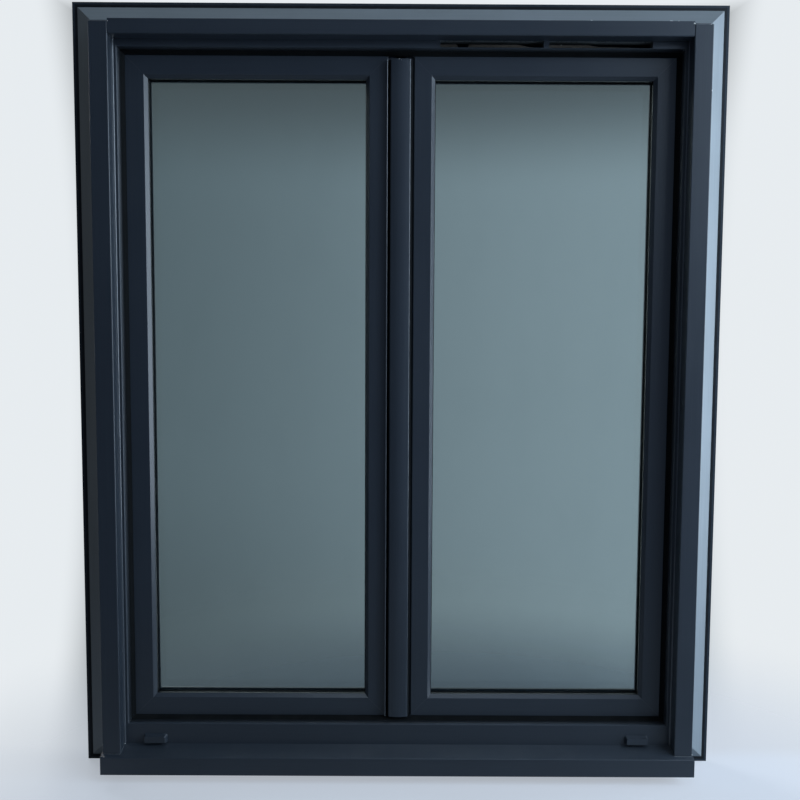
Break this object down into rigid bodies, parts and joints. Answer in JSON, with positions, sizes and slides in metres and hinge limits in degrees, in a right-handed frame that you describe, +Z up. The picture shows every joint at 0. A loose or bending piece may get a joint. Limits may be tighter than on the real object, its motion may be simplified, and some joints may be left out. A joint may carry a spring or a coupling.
{
  "type": "two-leaf PVC window",
  "caption": "Two-leaf inward-opening PVC window with mitred frame and leaves, double glazing, covering wing, surround trim, sill and air-inlet slots.",
  "frame": {"origin": "middle of the bottom wing strip's wall face", "axes": "+X right as seen from outside, +Y into the room, +Z up"},
  "size_m": [1.131, 0.1674, 1.343],
  "materials": {
    "anthracite_skin": "foil-laminated PVC, fine matt grain",
    "dark_edge": "dark moulded edge strip",
    "drain_plastic": "moulded satin plastic",
    "black_rubber": "extruded black seal",
    "clear_glass": "clear float glass",
    "spacer_alloy": "mill-finish spacer bar",
    "handle_metal": "satin powder coat",
    "hinge_finish": "satin powder coat"
  },
  "bodies": {
    "root": {"frame_head": "anthracite_skin", "wing_strip_head": "dark_edge", "frame_bottom_rail": "anthracite_skin", "wing_strip_bottom_rail": "dark_edge", "frame_left_jamb": "anthracite_skin", "wing_strip_left_jamb": "dark_edge", "frame_right_jamb": "anthracite_skin", "wing_strip_right_jamb": "dark_edge", "trim_left": "anthracite_skin", "trim_right": "anthracite_skin", "trim_head": "anthracite_skin", "sill": "anthracite_skin", "sill_end_caps": "anthracite_skin", "outside_cover_strip": "anthracite_skin", "drain_caps": "drain_plastic", "frame_seal": "black_rubber", "centre_seals": "black_rubber", "centre_core": "anthracite_skin", "room_cover_strip": "anthracite_skin", "left_leaf_top_rail": "anthracite_skin", "left_leaf_bottom_rail": "anthracite_skin", "left_leaf_hinge_stile": "anthracite_skin", "left_leaf_meeting_stile": "anthracite_skin", "left_upright_beads": "anthracite_skin", "left_cross_beads": "anthracite_skin", "left_outer_pane": "clear_glass", "left_inner_pane": "clear_glass", "left_spacer": "spacer_alloy", "left_glazing_gasket": "black_rubber", "left_hinges": "hinge_finish", "right_leaf_top_rail": "anthracite_skin", "right_leaf_bottom_rail": "anthracite_skin", "right_leaf_hinge_stile": "anthracite_skin", "right_leaf_meeting_stile": "anthracite_skin", "right_upright_beads": "anthracite_skin", "right_cross_beads": "anthracite_skin", "right_outer_pane": "clear_glass", "right_inner_pane": "clear_glass", "right_spacer": "spacer_alloy", "right_glazing_gasket": "black_rubber", "right_hinges": "hinge_finish", "handle_rosette": "handle_metal", "handle_lever": "handle_metal"}
  },
  "joints": []
}
